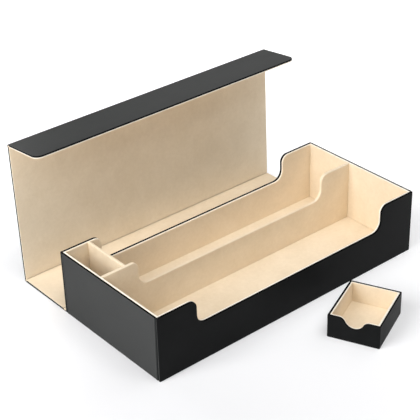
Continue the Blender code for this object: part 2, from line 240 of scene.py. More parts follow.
def steel_material():
    """Nickel plating with a fine turned finish."""
    mat, tree, shader = new_material("magnet_nickel")
    marks = noise(tree, object_coordinates(tree), scale=900.0)
    tree.links.new(remap(tree, marks, 0.22, 0.38), shader.inputs["Roughness"])
    colour = ramp(tree, marks, [(0.3, (0.52, 0.53, 0.54)), (0.7, (0.60, 0.61, 0.62))])
    tree.links.new(colour, shader.inputs["Base Color"])
    shader.inputs["Metallic"].default_value = 1.0
    return mat


# One black leather in two copies. The darker, less reflective one goes on the front and rear walls, the tray
# and the undersides, and carries painted shade. The lighter, more reflective one goes on the end walls and
# the cover, and carries a painted sheen.
LEATHER = leather_material("leather_black", (0.0052, 0.0056, 0.0058), (0.0084, 0.0090, 0.0092), ior=1.14)
SHEEN_LEATHER = leather_material("leather_painted_sheen", (0.0270, 0.0282, 0.0276), (0.0340, 0.0354, 0.0347), ior=1.21)
# The darkest, almost unreflecting copy goes on the leather's rounded rims and turned edges. It is painted
# shade that holds back the light they catch.
RIM_SHADE = leather_material("leather_rim_shade", (0.0030, 0.0032, 0.0034), (0.0060, 0.0064, 0.0066), ior=1.06)
LINING = lining_material("lining_cream", (0.775, 0.646, 0.470), (0.865, 0.737, 0.561))
# A lighter copy of the cream lining goes on the rounded rims of the wall and panel linings. It is a painted
# highlight.
RIM_HIGHLIGHT = lining_material("lining_rim_highlight", (0.905, 0.835, 0.722), (0.948, 0.888, 0.785))
BOARD = board_material()
STEEL = steel_material()

# A piece's further materials: the one along its rim (a painted highlight on linings, painted shade on
# leather), then the one on the strip wrapped onto an end wall (the lighter leather with its painted sheen)
OTHER_LOOKS = {LINING: (RIM_HIGHLIGHT,), SHEEN_LEATHER: (RIM_SHADE,), LEATHER: (RIM_SHADE, SHEEN_LEATHER)}
RIM_LOOK = 1
WRAPPED_LOOK = 2

# ---------------------------------------------------------------- mesh helpers

MERGE = 1e-7            # points closer than this are one
SHARP_ANGLE = math.radians(38)
NEARLY_STRAIGHT = 0.02  # sine of the turn between two edges that count as one line


def arc(centre, radius, start_deg, end_deg, steps=14):
    points = []
    for step in range(steps + 1):
        angle = math.radians(start_deg + (end_deg - start_deg) * step / steps)
        points.append((centre[0] + radius * math.cos(angle), centre[1] + radius * math.sin(angle)))
    return points


def make_piece(name, bm, mat, body, nodes):
    """Turn a bmesh into a piece that rides on a body and stands for CAD nodes."""
    bmesh.ops.remove_doubles(bm, verts=bm.verts, dist=MERGE)
    bmesh.ops.recalc_face_normals(bm, faces=bm.faces)
    mesh = bpy.data.meshes.new(name)
    bm.to_mesh(mesh)
    bm.free()
    mesh.shade_smooth()
    mesh.set_sharp_from_angle(angle=SHARP_ANGLE)
    for each in (mat, *OTHER_LOOKS[mat]):
        mesh.materials.append(each)
    obj = bpy.data.objects.new(name, mesh)
    bpy.context.scene.collection.objects.link(obj)
    if body:
        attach(obj, body)
    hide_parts(*nodes)
    return obj


def path_normals(path):
    """Outward mitred normals of an open path that runs from left to right over its material."""
    normals = []
    for i in range(len(path)):
        sides = []
        for a, b in ((i - 1, i), (i, i + 1)):
            if a >= 0 and b < len(path):
                ds, dz = path[b][0] - path[a][0], path[b][1] - path[a][1]
                length = math.hypot(ds, dz)
                sides.append((-dz / length, ds / length))
        n = [sum(side[k] for side in sides) / len(sides) for k in (0, 1)]
        size = n[0] * n[0] + n[1] * n[1]
        normals.append((n[0] / size, n[1] / size))
    return normals


def strip(bm, a, b, look=0):
    """Faces between two rows of points."""
    for i in range(len(a) - 1):
        bm.faces.new((a[i], a[i + 1], b[i + 1], b[i])).material_index = look


def main_face(bm, ring, row, first, last):
    """A shell's main face, from a ring along its rim to a row along its bottom. The rim's flat stretch, from
    first to last, is one face."""
    for j in range(len(row) - 1):
        if j == first:
            bm.faces.new(ring[first:last + 1] + [row[first + 1], row[first]])
        else:
            i = j if j < first else j + last - first - 1
            bm.faces.new((ring[i], ring[i + 1], row[j + 1], row[j]))


def shell_points(bm, path, base, bottom, profile, place, mitre, follow):
    """Rings of points along a shell's upper line, and rows along its bottom."""
    def new_point(s, z, depth, shift, at_end):
        if mitre and at_end:
            reach, deepest = mitre
            depth = min(depth, deepest)
            s = math.copysign(reach(depth, math.copysign(1.0, s)), s)
        else:
            s -= shift
        return bm.verts.new(place(s, z, depth))

    lines = list(zip(path, path_normals(path)))
    rings = []
    for inset, depth in profile:
        rings.append([new_point(s, z - n[1] * inset, depth, n[0] * inset, i in (0, len(path) - 1))
                      for i, ((s, z), n) in enumerate(lines)])
    rows = []
    for inset, depth in profile if follow else (profile[0], profile[-1]):
        z = bottom + (inset if follow else 0.0)
        rows.append([new_point(s, z, depth, 0.0, j in (0, len(base) - 1)) for j, s in enumerate(base)])
    return rings, rows


def shell(rim, bottom, profiles, place, columns, mitre=None, follow=False, trim=range(0)):
    """A bent sheet with a shaped upper rim.

    rim is the flat stretch's upper edge, as (s, z) from left to right. columns are further s values beyond
    its right end, mirrored beyond its left end, where the sheet may bend. Each profile is a list of
    (inset, depth) rings from one main face over the rim to the next main face. place turns (s, z, depth)
    into a point. mitre is for mitred ends: a function that gives half the length at a depth and side, and
    the depth where it stops. follow carries the rings along the bottom edge too, for a single profile. trim
    holds the rings that start the rim's own strips.
    """
    bm = bmesh.new()
    top = rim[0][1]
    path = [(-c, top) for c in reversed(columns)] + list(rim) + [(c, top) for c in columns]
    first, last = len(columns), len(columns) + len(rim) - 1
    base = [p[0] for i, p in enumerate(path) if i <= first or i >= last]
    parts = [shell_points(bm, path, base, bottom, profile, place, mitre, follow) for profile in profiles]
    pairs = list(zip(parts, parts[1:] + parts[:1]))
    for rings, rows in parts:
        for k in range(len(rings) - 1):
            strip(bm, rings[k], rings[k + 1], RIM_LOOK if k in trim else 0)
            if follow:
                strip(bm, rows[k], rows[k + 1])
        for k in (0, -1):
            main_face(bm, rings[k], rows[k], first, last)
    if not follow:
        for (_, rows), (_, next_rows) in pairs:
            strip(bm, rows[-1], next_rows[0])
    for end in (0, -1):
        loop = []
        for (rings, rows), (_, next_rows) in pairs:
            loop += [ring[end] for ring in rings]
            loop += [row[end] for row in reversed(rows)] if follow else [rows[-1][end], next_rows[0][end]]
        bm.faces.new(loop)
    return bm


def edge_shifts(outline, factors):
    """How each point of a closed outline moves for an inset of 1, with edge i's own inset scaled by
    factors[i]."""
    count = len(outline)
    shifts = []
    for i in range(count):
        sides = []
        for a, b in ((i - 1, i), (i, (i + 1) % count)):
            dx, dy = outline[b][0] - outline[a][0], outline[b][1] - outline[a][1]
            length = math.hypot(dx, dy)
            sides.append((dy / length, -dx / length, factors[a % count]))
        (ax, ay, af), (bx, by, bf) = sides
        cross = ax * by - ay * bx
        if abs(cross) < NEARLY_STRAIGHT:
            shifts.append((-(ax + bx) / 2 * (af + bf) / 2, -(ay + by) / 2 * (af + bf) / 2))
        else:
            shifts.append(((-af * by + bf * ay) / cross, (-ax * bf + bx * af) / cross))
    return shifts


def closed_sheet(outline, rings, place, factors=None, trim=range(0)):
    """A flat sheet with a shaped edge all round. outline is counter-clockwise; factors scale the rings'
    insets on each edge, edge i running from point i to the next. trim holds the rings that start the rim's
    own strips."""
    count = len(outline)
    shifts = edge_shifts(outline, factors or [1.0] * count)
    bm = bmesh.new()
    loops = []
    for inset, depth in rings:
        loops.append([bm.verts.new(place(p[0] + q[0] * inset, p[1] + q[1] * inset, depth))
                      for p, q in zip(outline, shifts)])
    for k, (a, b) in enumerate(zip(loops, loops[1:])):
        for i in range(count):
            j = (i + 1) % count
            face = bm.faces.new((a[i], a[j], b[j], b[i]))
            face.material_index = RIM_LOOK if k in trim else 0
    bm.faces.new(loops[0])
    bm.faces.new(list(reversed(loops[-1])))
    return bm


def round_edge(radius, depth_from, towards, steps=7):
    """Rings of a rounded edge that starts on a face at depth_from and turns towards greater (+1) or smaller
    (-1) depth."""
    rings = []
    for step in range(steps + 1):
        angle = math.pi / 2 * step / steps
        rings.append((radius * (1 - math.sin(angle)), depth_from + towards * radius * (1 - math.cos(angle))))
    return rings


def laid_rings(innermost, radius, thick, steps):
    """Rings of a laid cloth with a soft turned-down edge. The innermost one keeps its top flat in shading."""
    return [(innermost, 0.0)] + round_edge(radius, 0.0, 1, steps) + [(0.0, thick)]


def centred_rectangle(x, y):
    return [(-x, -y), (x, -y), (x, y), (-x, y)]


# ---------------------------------------------------------------- skins


def leather_rings(lip, skin, radius, drop):
    """Outer skin: main face at depth 0, over the rounded rim, down the board's edge, to the glued face."""
    rings = [(2 * radius, 0.0)] + round_edge(radius, 0.0, 1)
    return rings + [(0.0, lip - LIP_BEVEL), (LIP_BEVEL, lip), (drop, lip), (drop, skin)]


def lining_rings(face, back, lip, radius, drop, crown):
    """Inner skin: main face at the wall's full depth, over a soft rim, to the leather's edge."""
    rings = [(2 * radius, face)] + round_edge(radius, face, -1)
    start = lip + SKIN_GAP
    flat_from, flat_to = face - radius, start + SOFT_BEVEL
    for share in (0.25, 0.5, 0.75):
        rings.append((-crown * math.sin(math.pi * share), flat_from + (flat_to - flat_from) * share))
    under = drop + UNDER_GAP
    return rings + [(0.0, flat_to), (SOFT_BEVEL, start), (under, start), (under, back)]


# Rings of the two lists above that start the rim's own strips: painted shade on the leather, a painted
# highlight on the lining
LEATHER_RIM = range(4, 12)
LINING_RIM = range(6, 13)


def wall_lining(side):
    return lining_rings(WALL, WALL - LINING_SKIN, LIPS[side], RIM_R, LIP_DROP, RIM_CROWN)


def notched_rim(half, top):
    """Upper edge with the wide notch, from left to right."""
    side, floor = NOTCH_HALF, NOTCH_FLOOR
    left = [(-half, top)]
    left += arc((-side - NOTCH_SHOULDER, top - NOTCH_SHOULDER), NOTCH_SHOULDER, 90, 0)
    left += arc((-side + NOTCH_FILLET, floor + NOTCH_FILLET), NOTCH_FILLET, 180, 270)
    return left + [(-s, z) for s, z in reversed(left)]


# ---------------------------------------------------------------- box walls


def seam_distance(z):
    """The wrapped leather's edge, measured beyond the rounded corner, runs slightly out of true."""
    return SEAM_AT_FOOT - SEAM_DRIFT * (z / RIM_Z) ** 2


def wrap_tail(share, z):
    """Distance beyond the rounded corner and depth below the face at a share of the wrap's tail."""
    if share <= WRAP_EDGE:
        fall = max(0.0, share - WRAP_FLAT) / (WRAP_EDGE - WRAP_FLAT)
        return seam_distance(z) * share / WRAP_EDGE, SEAM_DEPTH * (1 - math.cos(math.pi / 2 * fall))
    return seam_distance(z) + SEAM_WIDTH * (share - WRAP_EDGE) / (1 - WRAP_EDGE), SEAM_DEPTH


def panel_edge(distance):
    """Height of the end wall's leather at a distance from its edge: a soft bead, then a rounded fall."""
    bead = BEAD_HEIGHT * math.sin(math.pi * min(1.0, distance / BEAD_WIDTH)) ** 2
    fall = max(0.0, 1 - distance / EDGE_FALL_WIDTH)
    return bead - EDGE_FALL * fall ** 2


def end_lip(side, x_sign, depth):
    """Depth from the end wall's face that a wrapped rim turns to at its depth from the long wall's face."""
    if depth <= LEATHER_SKIN:
        return depth
    lip = LIPS["right" if x_sign > 0 else "left"]
    return LEATHER_SKIN + (depth - LEATHER_SKIN) * (lip - LEATHER_SKIN) / (LIPS[side] - LEATHER_SKIN)


def wrap_place(side, sign):
    """Front (-1) or rear (+1) leather, wrapped round both corners onto the end walls."""
    flat = HALF_L - CORNER_R
    bend = CORNER_R * math.pi / 2

    def place(s, z, depth):
        turn = math.copysign(1.0, s)
        radius = CORNER_R - min(depth, CORNER_R)
        beyond = abs(s) - flat
        if beyond <= 0:
            x, y = abs(s), HALF_D - depth
        elif beyond <= bend + MERGE:
            angle = beyond / CORNER_R
            x = flat + radius * math.sin(angle)
            y = HALF_D - CORNER_R + radius * math.cos(angle)
        else:
            distance, fall = wrap_tail((beyond - bend) / WRAP_TAIL, z)
            x = HALF_L - depth - fall * max(0.0, 1 - depth / LEATHER_SKIN)
            y = HALF_D - CORNER_R - distance
        if depth > LEATHER_SKIN:
            if beyond > 0:
                x = HALF_L
            x = min(x, HALF_L - end_lip(side, -sign * turn, depth))
            y = min(y, HALF_D - depth)
        return (-sign * turn * x, sign * y, z)

    return place


def end_place(sign):
    """End wall's leather between the two seams; s runs from -1 to 1."""
    def place(s, z, depth):
        half = HALF_D - CORNER_R - seam_distance(z) - SEAM_WIDTH
        rise = panel_edge((1 - abs(s)) * half) * max(0.0, 1 - depth / LEATHER_SKIN)
        return (sign * (HALF_L - depth + rise), s * half, z)

    return place


def long_wall_reach(side, sign):
    """Half length of a long wall's lining at a depth: its ends are mitred against the end walls'."""
    lip = LIPS[side]

    def reach(depth, s_sign):
        end = LIPS["right" if -sign * s_sign > 0 else "left"]
        return HALF_L - (end + (depth - lip) * (WALL - end) / (WALL - lip))

    return reach


def end_wall_reach(side):
    """Half length of an end wall's lining at a depth: its ends are mitred against the long walls'."""
    lip, end = LIPS[side], LIPS["front"]
    return lambda depth, _: HALF_D - (end + (depth - lip) * (WALL - end) / (WALL - lip))


def paint_wrapped_strip(wrap):
    """The strip of a long wall's leather that lies on an end wall takes the end wall's lighter leather, with
    its painted sheen.
    """
    facing, depth = 0.75, 0.2 * MM
    for face in wrap.data.polygons:
        if abs(face.normal.x) > facing and abs(face.center.x) > HALF_L - depth:
            face.material_index = WRAPPED_LOOK


def build_long_wall(side, sign):
    """Front (-1) or rear (+1) wall."""
    flat = HALF_L - CORNER_R
    bend = CORNER_R * math.pi / 2
    columns = [flat + bend * k / CORNER_STEPS for k in range(1, CORNER_STEPS + 1)]
    columns += [flat + bend + WRAP_TAIL * share for share in WRAP_SHARES]
    leather = leather_rings(LIPS[side], LEATHER_SKIN, EDGE_R, LIP_DROP)
    bm = shell(notched_rim(flat, RIM_Z), 0.0, [leather], wrap_place(side, sign), columns, follow=True,
               trim=LEATHER_RIM)
    wrap = make_piece(side + "_leather_wrap", bm, LEATHER, "box", [side + "_leather"])
    paint_wrapped_strip(wrap)
    inner = HALF_L - WALL
    bm = shell(notched_rim(inner - LAST_FLAT, RIM_Z), LINING_BOTTOM, [wall_lining(side)],
               lambda s, z, depth: (-sign * s, sign * (HALF_D - depth), z), (inner - LAST_STEP, HALF_L),
               mitre=(long_wall_reach(side, sign), WALL - TUCK), trim=LINING_RIM)
    make_piece(side + "_lining_wrap", bm, LINING, "box", [side + "_lining"])


def build_end_wall(side, sign):
    """Left (-1) or right (+1) wall."""
    leather = leather_rings(LIPS[side], LEATHER_SKIN, EDGE_R, LIP_DROP)
    edge = [1 - distance / HALF_D for distance in END_COLUMNS]
    bm = shell([(-edge[0], RIM_Z), (edge[0], RIM_Z)], 0.0, [leather], end_place(sign), edge[1:], follow=True,
               trim=LEATHER_RIM)
    make_piece(side + "_leather_panel", bm, SHEEN_LEATHER, "box", [side + "_leather"])
    inner = HALF_D - WALL
    bm = shell([(LAST_FLAT - inner, RIM_Z), (inner - LAST_FLAT, RIM_Z)], LINING_BOTTOM, [wall_lining(side)],
               lambda s, z, depth: (sign * (HALF_L - depth), sign * s, z), (inner - LAST_STEP, HALF_D),
               mitre=(end_wall_reach(side), WALL - TUCK), trim=LINING_RIM)
    make_piece(side + "_lining_wrap", bm, LINING, "box", [side + "_lining"])


def build_walls():
    build_long_wall("front", -1)
    build_long_wall("rear", 1)
    build_end_wall("left", -1)
    build_end_wall("right", 1)


# ---------------------------------------------------------------- box floor and dividers

UNDERSIDE_GAP = 0.15 * MM   # from the front wall's turned leather to the underside's
UNDERSIDE_LIFT = 0.05 * MM
UNDERSIDE_RINGS = (
    (1.2 * MM, 0.0), (0.6 * MM, 0.0), (0.2 * MM, 0.15 * MM), (0.0, 0.45 * MM), (0.0, 0.85 * MM)
)
FLOOR_GROWTH = 0.25 * MM    # the floor cloths run this far into the walls' linings
FLOOR_INNERMOST = 2.4 * MM
FLOOR_R = 0.7 * MM
DIVIDER_SKIN = 1.05 * MM
DIVIDER_SINK = 1.2 * MM     # the dividers' cloth runs this far into the walls it meets
PINCH_LENGTH = 0.55 * MM    # stretch over which it is drawn in before a wall


def build_underside():
    inset = LIPS["front"] + UNDERSIDE_GAP
    bm = closed_sheet(centred_rectangle(HALF_L - inset, HALF_D - inset), UNDERSIDE_RINGS,
                      lambda x, y, depth: (x, y, UNDERSIDE_LIFT + depth))
    make_piece("underside_leather", bm, LEATHER, "box", ["base_leather"])


def floor_cloth(node):
    """Floor lining: a laid sheet with a soft turned-down edge."""
    low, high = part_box(node)
    rings = laid_rings(FLOOR_INNERMOST, FLOOR_R, high.z - low.z, steps=5)
    grow = Vector((FLOOR_GROWTH, FLOOR_GROWTH, 0.0))
    start, end = low - grow, high + grow
    outline = [(start.x, start.y), (end.x, start.y), (end.x, end.y), (start.x, end.y)]
    bm = closed_sheet(outline, rings, lambda x, y, depth: (x, y, high.z - depth))
    make_piece(node.replace("_lining", "_cloth"), bm, LINING, "box", [node])


def build_floors():
    for node in ("front_row_floor_lining", "rear_row_floor_lining", "tray_bay_floor_lining"):
        floor_cloth(node)


def divider_profiles(thick):
    """One piece of lining over both faces and the rounded top, and the hollow that holds the board."""
    outer = [(2 * RIM_R, 0.0)] + round_edge(RIM_R, 0.0, 1, steps=9)
    outer += [(inset, thick - depth) for inset, depth in reversed(outer)]
    inner = [(LIP_DROP, thick - DIVIDER_SKIN), (LIP_DROP, DIVIDER_SKIN)]
    return [outer, inner]


def pinched(s, depth, wall, thick):
    """Depth of a divider's skin, drawn in where the divider meets a wall."""
    share = min(1.0, max(0.0, 1 - (wall - abs(s)) / PINCH_LENGTH))
    return depth + TUCK * share * (1 - 2 * depth / thick)


def build_dividers():
    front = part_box("long_divider_front_lining")[0]
    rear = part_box("long_divider_rear_lining")[1]
    thick = rear.y - front.y
    wall = HALF_L - WALL
    bm = shell(notched_rim(wall - PINCH_LENGTH, RIM_Z), front.z, divider_profiles(thick),
               lambda s, z, depth: (s, front.y + pinched(s, depth, wall, thick), z),
               (wall, wall + DIVIDER_SINK))
    make_piece("long_divider_cloth", bm, LINING, "box",
               ["long_divider_front_lining", "long_divider_rear_lining"])

    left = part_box("cross_divider_left_lining")[0]
    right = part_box("cross_divider_right_lining")[1]
    wide = right.x - left.x
    middle, half = (rear.y + HALF_D - WALL) / 2, (HALF_D - WALL - rear.y) / 2
    bm = shell([(PINCH_LENGTH - half, RIM_Z), (half - PINCH_LENGTH, RIM_Z)], left.z, divider_profiles(wide),
               lambda s, z, depth: (left.x + pinched(s, depth, half, wide), middle + s, z),
               (half, half + DIVIDER_SINK))
    make_piece("cross_divider_cloth", bm, LINING, "box",
               ["cross_divider_left_lining", "cross_divider_right_lining"])


# ---------------------------------------------------------------- cover


def joint_point(name):
    _, y, z = JOINTS[name]["pos_m"]
    return Vector((0.0, y, z))


FOLD_A = joint_point("rear_lower_fold")
FOLD_B = joint_point("rear_upper_fold")
LID_AXIS = joint_point("lid_hinge")
FLAP_AXIS = joint_point("flap_hinge")
SPINE_ANGLE = 0.0
LID_ANGLE = math.atan2(FLAP_AXIS.z - LID_AXIS.z, FLAP_AXIS.y - LID_AXIS.y)
FLAP_ANGLE = math.radians(173.9)
FLAP_TIP = 60.3 * MM
FLAP_CORNER = 10 * MM
PANEL_START = 1.95 * MM     # a panel starts this far from its hinge axis
SPINE_START = 1.10 * MM     # the spine starts this far from its fold
CREASE_EDGE = 0.3           # share of the edge's rounding where a panel meets a crease
CREASE_GAP = 0.35 * MM      # a panel's lining stops this much short of its crease

FOLD_STEPS = 16             # steps round the outside of a folded corner
CREASE_INSET = 0.02 * MM    # a crease's leather lies this far inside the panels' faces
CREASE_MIDDLE = 0.5 * MM    # inner face of its leather, outside the hinge axis
CREASE_LINING_DROP = 1.1 * MM   # its lining lies this far below the panels' linings
REAR_GAP = 0.02 * MM        # between the box and the rear crease
REAR_STEPS = 14
REAR_LEVELS = {"leather": (CREASE_INSET, 1.25 * MM), "lining": (1.3 * MM, 2.7 * MM)}
# A crease's ends: distance from the end, and the share of its thickness that is drawn in there
RIBBON_ENDS = ((0.0, 0.22), (0.25 * MM, 0.07), (0.6 * MM, 0.0))


def direction(angle):
    return Vector((0.0, math.cos(angle), math.sin(angle)))


def panel_place(origin, angle):
    """Panel frame: a runs along X, b across the panel from its axis, depth from the leather face inwards."""
    across, up = direction(angle), direction(angle + math.pi / 2)

    def place(a, b, depth):
        point = origin + across * b + up * (depth - PANEL / 2)
        return (a, point.y, point.z)

    return place


def build_panel(body, origin, angle, outline, factors):
    """A cover panel's leather and lining. factors below 1 mark the edges that meet a crease."""
    place = panel_place(origin, angle)
    lip = PANEL_LIPS[body]
    leather = leather_rings(lip, PANEL_SKIN, EDGE_R, LIP_DROP)
    bm = closed_sheet(outline, leather, place, factors, LEATHER_RIM)
    make_piece(body + "_leather_wrap", bm, SHEEN_LEATHER, body, [body + "_leather"])
    radius = min(PANEL_RIM_R, PANEL - lip - PANEL_RIM_FLAT)
    lining = lining_rings(PANEL, PANEL - PANEL_SKIN, lip, radius, LIP_DROP, 0.0)
    last = max(b for _, b in outline) if factors[2] < 1.0 else math.inf
    outline = [(a, b + CREASE_GAP * ((b <= PANEL_START) - (b >= last))) for a, b in outline]
    bm = closed_sheet(outline, lining, place, factors, LINING_RIM)
    make_piece(body + "_lining_wrap", bm, LINING, body, [body + "_lining"])


def build_panels():
    x = HALF_L
    spine_end = (LID_AXIS - FOLD_B).length - PANEL_START
    lid_end = (FLAP_AXIS - LID_AXIS).length - PANEL_START
    for body, origin, angle, start, end in (
        ("spine", FOLD_B, SPINE_ANGLE, SPINE_START, spine_end),
        ("lid", LID_AXIS, LID_ANGLE, PANEL_START, lid_end),
    ):
        outline = [(-x, start), (x, start), (x, end), (-x, end)]
        build_panel(body, origin, angle, outline, [CREASE_EDGE, 1.0, CREASE_EDGE, 1.0])
    outline = [(-x, PANEL_START), (x, PANEL_START)]
    outline += arc((x - FLAP_CORNER, FLAP_TIP - FLAP_CORNER), FLAP_CORNER, 0, 90)
    outline += arc((-x + FLAP_CORNER, FLAP_TIP - FLAP_CORNER), FLAP_CORNER, 90, 180)
    build_panel("flap", FLAP_AXIS, FLAP_ANGLE, outline, [CREASE_EDGE] + [1.0] * (len(outline) - 1))


def ribbon(outer, inner):
    """A strip along X between two section lines of equal point count, its ends slightly drawn in."""
    bm = bmesh.new()
    stations = [(distance - HALF_L, shrink) for distance, shrink in RIBBON_ENDS]
    stations += [(-x, shrink) for x, shrink in reversed(stations)]
    rows = []
    for x, shrink in stations:
        a = [p.lerp(q, shrink) for p, q in zip(outer, inner)]
        b = [q.lerp(p, shrink) for p, q in zip(outer, inner)]
        rows.append([bm.verts.new((x, p.y, p.z)) for p in a + list(reversed(b))])
    count = len(rows[0])
    for first, second in zip(rows, rows[1:]):
        for i in range(count):
            j = (i + 1) % count
            bm.faces.new((first[i], first[j], second[j], second[i]))
    for row in (rows[0], rows[-1]):
        for i in range(count // 2 - 1):
            bm.faces.new((row[i], row[i + 1], row[count - 2 - i], row[count - 1 - i]))
    return bm


def outside_line(axis, angle_a, angle_b, distance):
    """Section line that runs round a fold at a distance outside the middles of its two panels."""
    up_a, up_b = direction(angle_a + math.pi / 2), direction(angle_b + math.pi / 2)
    points = [axis - direction(angle_a) * (PANEL_START * share) - up_a * distance for share in (1.0, 0.5)]
    for step in range(FOLD_STEPS + 1):
        angle = angle_a + (angle_b - angle_a) * step / FOLD_STEPS
        points.append(axis - direction(angle + math.pi / 2) * distance)
    points += [axis + direction(angle_b) * (PANEL_START * share) - up_b * distance for share in (0.5, 1.0)]
    return points


def inside_line(axis, angle_a, angle_b, distance):
    """Straight section line across a fold, at a distance inside the middles of its two panels."""
    first = axis - direction(angle_a) * PANEL_START + direction(angle_a + math.pi / 2) * distance
    final = axis + direction(angle_b) * PANEL_START + direction(angle_b + math.pi / 2) * distance
    steps = FOLD_STEPS + 4
    return [first.lerp(final, step / steps) for step in range(steps + 1)]


def build_corner_crease(name, axis, angle_a, angle_b):
    """Leather and lining that run round a folded corner from one panel to the next."""
    outer = outside_line(axis, angle_a, angle_b, PANEL / 2 - CREASE_INSET)
    middle = outside_line(axis, angle_a, angle_b, CREASE_MIDDLE)
    leather = make_piece(name + "_leather", ribbon(outer, middle), SHEEN_LEATHER, None, [name])
    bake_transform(leather)
    middle = outside_line(axis, angle_a, angle_b, CREASE_MIDDLE - SKIN_GAP)
    inside = inside_line(axis, angle_a, angle_b, PANEL / 2 - CREASE_LINING_DROP)
    lining = make_piece(name + "_lining", ribbon(middle, inside), LINING, None, [])
    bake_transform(lining)


def build_rear_crease():
    """The strip that folds along two lines behind the box, as leather below and lining above."""
    start, middle, end = HALF_D + REAR_GAP, (FOLD_A.y + FOLD_B.y) / 2, FOLD_B.y + SPINE_START
    for part, fold, body_a, body_b, low, high in (
        ("lower", FOLD_A, "box", "rear_crease", start, middle),
        ("upper", FOLD_B, "rear_crease", "spine", middle, end),
    ):
        ys = [low + (high - low) * k / REAR_STEPS for k in range(REAR_STEPS + 1)]
        for kind, (bottom, top) in REAR_LEVELS.items():
            bm = ribbon([Vector((0.0, y, bottom)) for y in ys], [Vector((0.0, y, top)) for y in ys])
            mat = SHEEN_LEATHER if kind == "leather" else LINING
            nodes = ["rear_crease_strip"] if (kind, part) == ("leather", "lower") else []
            piece = make_piece("rear_crease_" + kind + "_" + part, bm, mat, None, nodes)
            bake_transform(piece)


def build_cover():
    build_panels()
    build_rear_crease()
    build_corner_crease("lid_crease", LID_AXIS, SPINE_ANGLE, LID_ANGLE)
    build_corner_crease("flap_crease", FLAP_AXIS, LID_ANGLE, FLAP_ANGLE)


# ---------------------------------------------------------------- tray

TRAY_HALF_X = 31.55 * MM
TRAY_HALF_Y = 38.4 * MM
TRAY_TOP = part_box("tray_leather_band")[1].z
TRAY_FLOOR_LOW, TRAY_FLOOR_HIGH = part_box("tray_floor_leather")
TRAY_CENTRE = Vector((
    (TRAY_FLOOR_LOW.x + TRAY_FLOOR_HIGH.x) / 2, (TRAY_FLOOR_LOW.y + TRAY_FLOOR_HIGH.y) / 2, 0.0
))
TRAY_TURN = Matrix.Rotation(math.radians(-65.5), 3, "Z")
TRAY_WALL = 4.2 * MM
TRAY_CORNER = 0.9 * MM
TRAY_SKIN = 0.7 * MM
TRAY_LIP = 2.5 * MM         # leather's turn over the rim
TRAY_RIGHT_LIP = 1.7 * MM   # the same on the right wall
TRAY_DROP = 0.65 * MM       # thickness of the skins over the board's cut edge
TRAY_EDGE_R = 0.45 * MM
TRAY_RIM_R = 0.7 * MM
TRAY_CROWN = 0.10 * MM
TRAY_TUCK = 0.25 * MM       # linings sink this far where two of them meet in a corner
TRAY_LAST_FLAT = 0.5 * MM   # a wall lining's last two columns before an inner corner
TRAY_LAST_STEP = 0.2 * MM
TRAY_UNDERSIDE_LIFT = 0.04 * MM
TRAY_UNDERSIDE_RINGS = ((1.0 * MM, 0.0), (0.4 * MM, 0.0), (0.0, 0.3 * MM), (0.0, 0.65 * MM))
TRAY_FLOOR_INNERMOST = 1.8 * MM
TRAY_FLOOR_R = 0.5 * MM
FINGER_DEPTH = 11.8 * MM
FINGER_RADIUS = 12.0 * MM
FINGER_SHOULDER = 8.4 * MM

# The leather's two ends meet in a groove in the middle of the rear wall
GROOVE_FROM = 0.985         # share of the way from the corner to the middle where it starts
GROOVE_DEPTH = 0.3 * MM
BAND_END = 0.9985           # share of that way where an end stops


def tray_point(x, y, z):
    return tuple(TRAY_TURN @ Vector((x, y, z)) + TRAY_CENTRE)


def finger_rim(half, top):
    """The tray front's upper edge with its round finger notch, from left to right."""
    drop = FINGER_DEPTH - FINGER_SHOULDER - FINGER_RADIUS
    reach = FINGER_SHOULDER + FINGER_RADIUS
    spread = math.sqrt(reach ** 2 - drop ** 2)
    lean = math.degrees(math.asin(drop / reach))
    left = [(-half, top)]
    left += arc((-spread, top - FINGER_SHOULDER), FINGER_SHOULDER, 90, -lean, steps=10)
    left += arc((0.0, top - FINGER_SHOULDER - drop), FINGER_RADIUS, 180 - lean, 270, steps=12)[1:]
    return left + [(-s, z) for s, z in reversed(left[:-1])]


def band_place(s, z, depth):
    """The tray's outer skin: round all four corners, its ends meeting in the middle of the rear wall."""
    flat_x, flat_y = TRAY_HALF_X - TRAY_CORNER, TRAY_HALF_Y - TRAY_CORNER
    bend = TRAY_CORNER * math.pi / 2
    radius = TRAY_CORNER - min(depth, TRAY_CORNER)
    rest = abs(s)
    if rest <= flat_x:
        x, y = rest, -TRAY_HALF_Y
    elif rest <= flat_x + bend:
        angle = (rest - flat_x) / TRAY_CORNER
        x, y = flat_x + radius * math.sin(angle), -flat_y - radius * math.cos(angle)
    elif rest <= flat_x + bend + 2 * flat_y:
        x, y = TRAY_HALF_X, -flat_y + rest - flat_x - bend
    elif rest <= flat_x + 2 * bend + 2 * flat_y:
        angle = (rest - flat_x - bend - 2 * flat_y) / TRAY_CORNER
        x, y = flat_x + radius * math.cos(angle), flat_y + radius * math.sin(angle)
    else:
        rest -= flat_x + 2 * bend + 2 * flat_y
        fall = max(0.0, (rest / flat_x - GROOVE_FROM) / (1 - GROOVE_FROM)) * max(0.0, 1 - depth / TRAY_SKIN)
        x, y = flat_x - rest * BAND_END, TRAY_HALF_Y - depth - GROOVE_DEPTH * fall
    side_depth = depth
    if s > 0 and depth > TRAY_SKIN:
        side_depth = TRAY_SKIN + (depth - TRAY_SKIN) * (TRAY_RIGHT_LIP - TRAY_SKIN) / (TRAY_LIP - TRAY_SKIN)
    limit_x, limit_y = TRAY_HALF_X - side_depth, TRAY_HALF_Y - depth
    return tray_point(math.copysign(min(x, limit_x), s), max(-limit_y, min(limit_y, y)), z)


